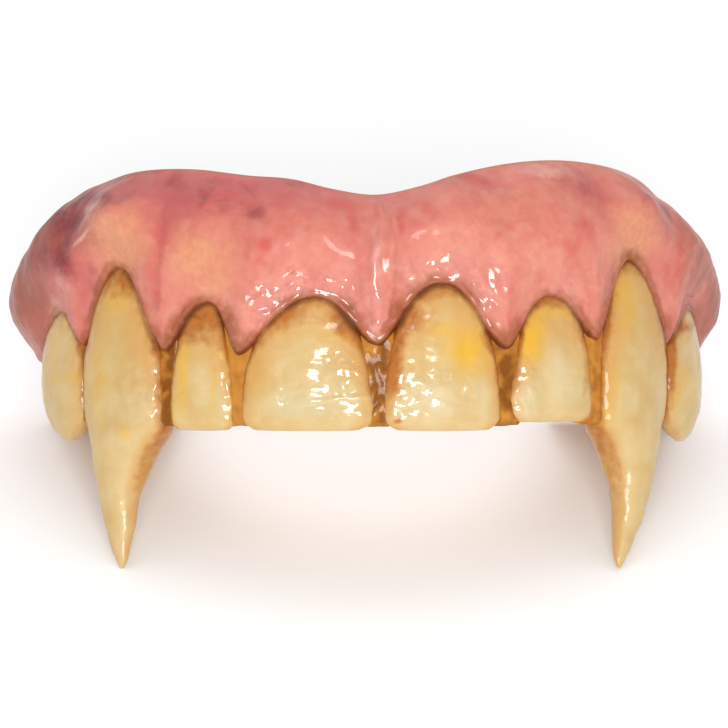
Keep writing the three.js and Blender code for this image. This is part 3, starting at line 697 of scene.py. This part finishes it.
# The margin is a thin rolled edge on the tooth, or on the stain between two teeth, and swells slowly above it.
tucked = np.maximum(tooth_face(s, face_z)[0], -0.1)
edge_radius, edge_thickness, swell_reach = 0.4, 0.26, 5.5
edge_turn = 1 - (1 - np.clip(past_line / edge_radius, 0, 1)) ** 2
swelling = 1 - (1 - np.clip(past_line / swell_reach, 0, 1)) ** 1.6
start_n = np.minimum(tucked - 0.1, face_n - 0.35)
face_n = start_n + edge_thickness * edge_turn + (face_n - start_n - edge_thickness) * swelling

# Behind the rolled top edge the back runs down into the tray's channel, seats on the front wall's top, and
# comes down the tooth side of the wall to the margin.
seat_z, inner, rolled_back = top - border_depth + fit, -gum_back, -2.97
corners_n = [face_n[:, -1:]]
corners_n += [np.full_like(top, n) for n in (rolled_back, channel_front, channel_front, inner, inner)]
corners_n += [start_n[:, :1]]
corners_z = [face_z[:, -1:], top - 0.3, top - 1.4, seat_z, seat_z, bottom + 0.4, bottom]
back_n, back_z = [], []
for k in range(6):
    # The last run stops short of the margin, where the ring closes on its first point.
    steps = np.linspace(0, 1, back_rows)[None, 1:(None if k < 5 else -1)]
    back_n.append(corners_n[k] + (corners_n[k + 1] - corners_n[k]) * steps)
    back_z.append(corners_z[k] + (corners_z[k + 1] - corners_z[k]) * steps)
gum_n, gum_z = np.hstack([face_n] + back_n), np.hstack([face_z] + back_z)
past = np.clip((np.abs(gum_places) - straight) / end_round, 0, 1)[:, None]
drawn = np.maximum(0.06, np.sqrt(1 - past**2))
middle = (bottom + top) / 2
gum_n, gum_z = inner + (gum_n - inner) * drawn, middle + (gum_z - middle) * drawn
gum_s = np.repeat(gum_places[:, None], gum_n.shape[1], 1)
gum_rings = on_arch(gum_s, gum_n, gum_z)
gum_out = outwards(gum_rings)

# The touches of each wash on the gum, given as on the teeth. Root is peach. The whitish wash is a few pale
# patches of paint, the rest painted highlight on ridges and along the crest. The brown-rose wash on the far
# flanks is painted shade where they turn from the light.
gum_washes = {
    "root": (
        (-22.8, 16.2, 3.6, 3.2, 1), (-22.5, 14, 1.9, 1.2, .8), (-14.4, 14.5, 3, 2.3, .9),
        (-14, 12, 2.2, 1.2, .7), (-5.7, 13.2, 3.2, 1.7, .25), (4.1, 15.7, 4, 2.5, .3),
        (23.5, 16.4, 3.2, 2.9, .9), (22.5, 14.1, 1.9, 1, .8), (15.1, 19.5, 3.7, 1.7, .35),
        (9.9, 18.6, 2.5, 1.7, .25),
    ),
    "flush": (
        (-18, 15.8, 1.3, 3.9, .6), (-19, 11.6, .8, 2.1, .6), (-8.9, 15.4, .7, .7, .9),
        (-9.6, 14.2, .5, .5, .5), (-3.4, 18.7, 1.4, .7, .9), (-2, 17, .6, 1, .9), (-7.7, 19, 1.1, 1, .6),
        (-11, 18.6, 1.8, 1, .5), (-9.2, 10.7, .8, 2.9, .35), (-2.2, 9.9, 1.1, 1.3, .5),
        (1.9, 17.2, .5, 1.2, .9), (3.9, 18.4, .6, .7, .6), (1.1, 11.6, .5, 3.3, .35),
        (17.5, 17.1, 1, 1.3, .8), (16.1, 15.4, 1.3, .7, .5), (11.6, 16.2, 4.4, 1.2, .3),
        (29.5, 14.8, 1.6, 3.1, .8), (18.2, 10.8, .8, 2.5, .4), (8.6, 20.7, 1.2, .7, .8),
        (10.9, 10.8, .7, 2.3, .4), (33.3, 11, 2.3, 2.1, .5),
    ),
    "bruise": (
        (-29.4, 17.2, 4.2, 2, .9), (-33.5, 14.8, 4.2, 2.2, .8), (-29.2, 14.5, 1.2, 1.5, .9),
        (-24.2, 19.5, 2.6, .7, .6), (-18, 20.9, 2.6, .8, .3), (-14, 19.1, 2.6, 1, .3),
        (-11.4, 20.6, 3, .9, .25), (-10.2, 18, 1.2, .8, .5), (-38.8, 10.2, 4.3, 2.8, .5),
        (-37.5, 14.5, 3, 4, .7), (-35.4, 15.6, 2.3, 2, .9), (-31.2, 18.1, 2.2, 1.1, .9),
        (-28.2, 19.5, 2, .7, .7), (-37, 12.4, 1.8, 2.2, .6), (-33.9, 7.1, 3.1, 1.2, .7),
        (18, 20.2, 2.4, 1.2, .25), (8.4, 20.6, 1.4, .7, .3), (25, 19.8, 1.8, .8, .3),
        (27.8, 18.8, 1.6, .8, .6), (-6.1, 20.8, 1.9, .5, .4), (-2.2, 8.4, 1.1, .7, .7),
        (1.6, 8.3, .6, .7, .5), (33.3, 8.8, 2.3, 1, .5), (-26.1, 10.9, .8, 2.2, .5),
        (38.5, 11, 3.5, 3, .6), (-38.4, 15.4, 2.2, 1.3, .9), (-34.8, 18, 2.8, .9, .95),
        (-30.6, 20.1, 2.6, .8, .95), (-26.6, 21.5, 2.6, .7, .9), (-22.6, 22.2, 2.6, .5, .7),
    ),
    "plum": (
        (-31, 15.5, 5, 4, .9), (-14, 20, 8, 2, .85), (-20, 20.5, 4, 1.5, .8), (-6, 20.3, 4, 1.2, .5),
        (-25, 19.5, 4, 1.5, .8), (9, 20.6, 5, 1, .4), (19, 20.3, 3, 1.4, .7), (27, 18.5, 3, 2.2, .7),
        (-2.5, 9.5, 1.6, 1.6, .7), (2, 9.5, .8, 1.2, .5), (-17.5, 18, 1.6, 2.5, .6),
        (-27.5, 11.5, 1.2, 3, .6), (32, 12, 2, 3, .5),
    ),
    # Whitish: partly pale paint, partly painted highlight on the frenum cord, the ridges and the crest.
    "pale_and_painted_highlight": (
        (-32.4, 9.9, 1.6, 1.4, .9), (-25.9, 18.7, 2, .5, .6), (0, 7.8, .5, 1, 1),
        (15.1, 21.5, 3.4, .7, .5), (-29.2, 12.2, 1.8, 1.2, .4), (9.9, 19.9, 1.9, .7, .3),
        (-.1, 14.8, .4, 2.2, .6), (4.9, 13.9, 3.2, .8, .2),
    ),
    # A brown-rose wash over the far flanks: painted shade where they turn away from the light.
    "painted_flank_shade": (
        (-36.1, 11.9, 4.7, 3.3, .9), (-33, 16.1, 3.8, 2, .7), (33.3, 14.5, 3.5, 3.3, .7),
        (28.3, 18.2, 3.4, 1.5, .4), (-43, 10, 6, 9, .9), (42, 10, 7, 9, .9),
    ),
    "wet": (
        (-8.5, 10.7, 2, 1.8, 1), (-5.3, 11.4, 2.4, 1.2, 1), (-2.2, 10.7, 1.4, 2.5, 1),
        (0, 10.7, .9, 4.1, .8), (3.3, 12.8, 2, 1.3, 1), (5.7, 13.4, 1.6, 1.2, 1), (8.9, 12, 1.5, 2.1, 1),
        (8.2, 9.1, 1.2, 2.1, .9), (16.7, 10.8, 1.3, 2.2, 1), (25.1, 11.6, 1.1, 2.5, .7),
        (-18.3, 6.6, 1.3, 1, 1), (-12, 7.9, 1.2, 1.7, 1), (9.9, 6.4, 1, 1, 1), (-14.4, 11.6, 1.2, .8, .4),
        (15.1, 21.8, 3.7, .5, .3), (-23.7, 17.6, 2.5, 1.7, .4),
    ),
}
# Modelled relief: a sharp crease round the left fang's root, the frenum's two cords, wrinkles by the left
# lateral's root, pits, a pimple, and beads of gloss that gather along the margin.
edge_away = np.abs(above_gum_line(gum_s, gum_z))
on_face = np.zeros(gum_n.shape)
on_face[:, :face_rows] = ease(past_line, 0.15, 0.9) * (1 - ease(rises, 0.97, 1.0))
relief = 0.22 * lumps(gum_rings, 6, 20) + 0.12 * lumps(gum_rings, 2.6, 21) + 0.045 * lumps(gum_rings, 1.1, 22)
gum_wet = brushed(gum_washes["wet"], gum_s, gum_z, gum_rings)
gum_thick = brushed(rim_stains, gum_s, gum_z, gum_rings)
relief += (0.03 + 0.13 * gum_wet) * lumps(gum_rings, 1.1, 23) + 0.07 * gum_wet * lumps(gum_rings, 0.6, 24)
bead_rise = 0.08 + 0.1 * lumps(gum_rings, 1.2, 26) + 0.08 * gum_thick + 0.06 * gum_wet
bead = bell(edge_away - 0.45, 0.26) * bead_rise
# Above the margin the gloss ran together in broken ridges that follow it.
for away, wide, seed in ((1.2, 0.42, 31), (2.1, 0.36, 33)):
    ridge = bell(edge_away - away - 0.5 * lumps(gum_rings, 1.5, seed), wide)
    unbroken = ease(lumps(gum_rings, 1.2, seed + 1), -0.3, 0.15)
    relief += 0.13 * gum_wet * (ridge * unbroken)
wobble = 0.25 * lumps(gum_rings, 1.8, 25)
crease_line = [(-29.0, 13.6), (-27.7, 15.3), (-25.4, 16.8), (-23.3, 18.0), (-21.0, 18.9)]
crease = from_line(crease_line, gum_s + wobble, gum_z)
relief += 0.12 * bell(crease, 0.4) + 0.2 * bell(crease, 1.2)
for line, rise, wide in (
    ([(0.3, 18.3), (0.1, 15.7), (-0.3, 13.2), (0.0, 10.7), (0.2, 8.6)], 0.34, 0.5),
    ([(1.3, 17.7), (1.1, 14.8), (0.9, 11.6), (0.7, 9.2)], 0.22, 0.35),
    ([(-1.3, 17.0), (-1.2, 14.0), (-1.0, 11.0)], 0.14, 0.4),
    ([(-15.5, 19.9), (-14.7, 19.4), (-14.1, 19.9)], -0.16, 0.2),
    ([(-13.5, 19.1), (-12.5, 19.2), (-11.7, 18.9)], -0.2, 0.22),
    ([(-12.0, 20.4), (-11.0, 19.8), (-10.5, 19.2)], -0.18, 0.22),
    ([(-14.8, 20.9), (-13.9, 20.5), (-13.0, 20.7)], -0.18, 0.2),
    ([(-14.0, 18.4), (-13.2, 18.1), (-12.5, 18.3)], -0.14, 0.2),
    ([(-18.6, 18.5), (-18.2, 15.0), (-18.8, 11.8)], -0.16, 0.5),
):
    relief += rise * bell(from_line(line, gum_s + wobble, gum_z), wide)
for at_s, at_z, size, rise in (
    (-16.5, 9.3, 0.55, 0.28), (-6.9, 13.2, 0.3, -0.16), (-5.6, 16.9, 0.35, -0.18), (-6.9, 16.3, 0.3, -0.14),
    (-12.3, 18.6, 0.3, -0.15), (-14.7, 19.4, 0.3, -0.14), (4.1, 14.0, 0.4, -0.1), (14.0, 17.6, 0.4, -0.12),
    (11.2, 20.3, 0.4, -0.12), (32.2, 6.9, 0.5, 0.4), (21.0, 15.0, 0.35, -0.1), (-9.3, 12.0, 0.35, -0.12),
):
    relief += rise * bell(np.hypot(gum_s - at_s, gum_z - at_z), size)
relief = relief * on_face
relief[:, :face_rows] += bead[:, :face_rows]
gum_rings = gum_rings + gum_out * (relief * drawn)[..., None]

gum_masks = {
    kind: brushed(touches, gum_s, gum_z, gum_rings) for kind, touches in gum_washes.items() if kind != "wet"
}
# Rose was sponged on from the top, thinner to the right of the middle.
gum_masks["rose"] = ease((gum_z - gum_line(gum_s)) / (top_edge(gum_s) - gum_line(gum_s)), 0.3, 0.95)
gum_masks["rose"] = gum_masks["rose"] * (1 - 0.45 * ease(gum_s, -6, 10))
# Painted highlight: a pale line along the crest of the crease round the left fang's root.
gum_masks["pale_and_painted_highlight"] = np.clip(gum_masks["pale_and_painted_highlight"] + 0.7 * bell(crease, 0.2) * bell(gum_s + 26.3, 1.6), 0, 1)
# Along the margin: stain left thick, and painted shade of the crevice between gum and tooth.
gum_masks["margin_stain_and_shade"] = bell(edge_away, 0.16 + 0.34 * gum_thick) * (0.55 + 0.45 * gum_thick)
gum_masks["rust"] = bell(edge_away, 0.7 + 1.4 * gum_thick) * (0.8 + 0.2 * gum_thick)
gum_masks["wet"] = gum_wet

pink_gum, tree, shader = acrylic("pink_gum", 0.42, 0.07, 0.2)
clouded = placed(tree, mottle, Spot_Size=3.5, Contrast=2.8)
colour = over(tree, paint(230, 150, 128), paint(220, 130, 114), clouded)
colour = over(tree, colour, paint(214, 114, 104), dried(tree, "rose", 3.0, 0.7, 1.2), 0.65)
blotches = placed(tree, mottle, Spot_Size=1.5, Contrast=4.5, Cover=0.45)
colour = over(tree, colour, paint(204, 96, 92), blotches, 0.32)
paler = placed(tree, mottle, Spot_Size=1.1, Contrast=5.0, Cover=0.4)
colour = over(tree, colour, paint(236, 172, 152), paler, 0.3)
colour = over(tree, colour, paint(228, 158, 116), dried(tree, "root", 1.8, 0.5, 1.6), 0.85)
colour = over(tree, colour, paint(212, 88, 80), dried(tree, "flush", 1.0, 0.7, 1.6), 0.7)
colour = over(tree, colour, paint(196, 92, 96), dried(tree, "plum", 1.4, 0.8, 1.3), 0.75)
colour = over(tree, colour, paint(116, 34, 46), dried(tree, "bruise", 1.6, 0.9, 1.3), 0.85)
# Whitish wash: partly pale paint, partly painted highlight on ridges and the crest.
colour = over(tree, colour, paint(240, 192, 176), dried(tree, "pale_and_painted_highlight", 0.8, 0.6, 1.5), 0.75)
# Painted shade: the far flanks darkened brown-rose.
colour = over(tree, colour, paint(166, 96, 76), dried(tree, "painted_flank_shade", 1.5, 1.0, 1.5), 0.85)
freckles = placed(tree, mottle, Spot_Size=0.55, Contrast=3.5, Cover=0.48)
colour = over(tree, colour, paint(200, 96, 88), freckles, 0.26)
colour = over(tree, colour, paint(160, 84, 36), dried(tree, "rust", 0.7, 0.9, 1.3), 0.9)
# The darkest brown at the margin: stain left thick there, and painted shade of the crevice at each tooth.
colour = over(tree, colour, paint(104, 46, 14), dried(tree, "margin_stain_and_shade", 0.6, 0.9, 1.6), 0.8)
tree.links.new(colour, shader.inputs["Base Color"])
brushed_gloss = node(tree, "Math", {0: painted_mask(tree, "wet"), 1: 0.88, 2: 0.12}, operation="MULTIPLY_ADD")
tree.links.new(brushed_gloss.outputs[0], shader.inputs["Coat Weight"])
height = placed(tree, wet_skin, Ripple_Size=0.9, Fine_Share=0.6)
height = node(tree, "Math", {0: height, 1: brushed_gloss.outputs[0]}, operation="MULTIPLY").outputs[0]
bump = node(tree, "Bump", {"Height": height, "Distance": 0.0003, "Strength": 0.32})
tree.links.new(bump.outputs[0], shader.inputs["Normal"])

gum = skin("dressed_gum", gum_rings, gum_masks, pink_gum)
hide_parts("gum_flange")


# ---- Studio ----
# A plain white table, a small bright softbox a little below the camera, a large one overhead and a white room.
# The camera stands square to the tooth faces, so it looks down at the leaning denture.

table_mesh = bpy.data.meshes.new("table")
table_mesh.from_pydata([(-4, -4, 0), (4, -4, 0), (4, 4, 0), (-4, 4, 0)], [], [(0, 1, 2, 3)])
white_table = bpy.data.materials.new("white_table")
white_table.use_nodes = True
shader = white_table.node_tree.nodes["Principled BSDF"]
shader.inputs["Base Color"].default_value = (0.93, 0.93, 0.93, 1)
shader.inputs["Roughness"].default_value = 0.9
table_mesh.materials.append(white_table)
table = bpy.data.objects.new("table", table_mesh)
bpy.context.scene.collection.objects.link(table)

# The camera stands 350 mm off, a little to the left. The midline is at column 377 of a picture of 728 and the
# incisors' edges are at row 430. One pixel covers 0.0827 mm.
per_pixel, distance, yaw = 0.0827, 350.0, math.radians(2)
picture, midline_column, edge_row = 728, 377, 430
aim = np.array([(picture // 2 - midline_column) * per_pixel, 0, (edge_row - picture // 2) * per_pixel])
look = np.array([math.sin(yaw), math.cos(yaw), 0])
axes = np.array([[math.cos(yaw), -math.sin(yaw), 0], [0, 0, 1], -look]) @ lean.T
camera_data = bpy.data.cameras.new("camera")
camera_data.lens = distance / per_pixel / picture * camera_data.sensor_width
camera = bpy.data.objects.new("camera", camera_data)
camera.matrix_world = Matrix.Translation(to_row(aim - look * distance)) @ Matrix(axes.T.tolist()).to_4x4()
bpy.context.scene.collection.objects.link(camera)
bpy.context.scene.camera = camera


def softbox(name, place, width, height, power, towards=(0, 0, 6)):
    """A softbox at a place in the mouth's frame, turned to the denture."""
    data = bpy.data.lights.new(name, "AREA")
    data.shape, data.size, data.size_y, data.energy = "RECTANGLE", width, height, power
    light = bpy.data.objects.new(name, data)
    at, to = Vector(to_row(place)), Vector(to_row(towards))
    light.matrix_world = Matrix.Translation(at) @ (to - at).to_track_quat("-Z", "Y").to_matrix().to_4x4()
    bpy.context.scene.collection.objects.link(light)


softbox("softbox_below_camera", (-4, -335, -34), 0.14, 0.1, 0.95)
softbox("softbox_overhead", (0, 60, 420), 0.5, 0.4, 0.6)
world = bpy.data.worlds.new("white_room")
world.use_nodes = True
background = world.node_tree.nodes["Background"]
background.inputs["Color"].default_value = (1, 1, 1, 1)
background.inputs["Strength"].default_value = 0.76
bpy.context.scene.world = world
bpy.context.scene.view_settings.view_transform = "Standard"
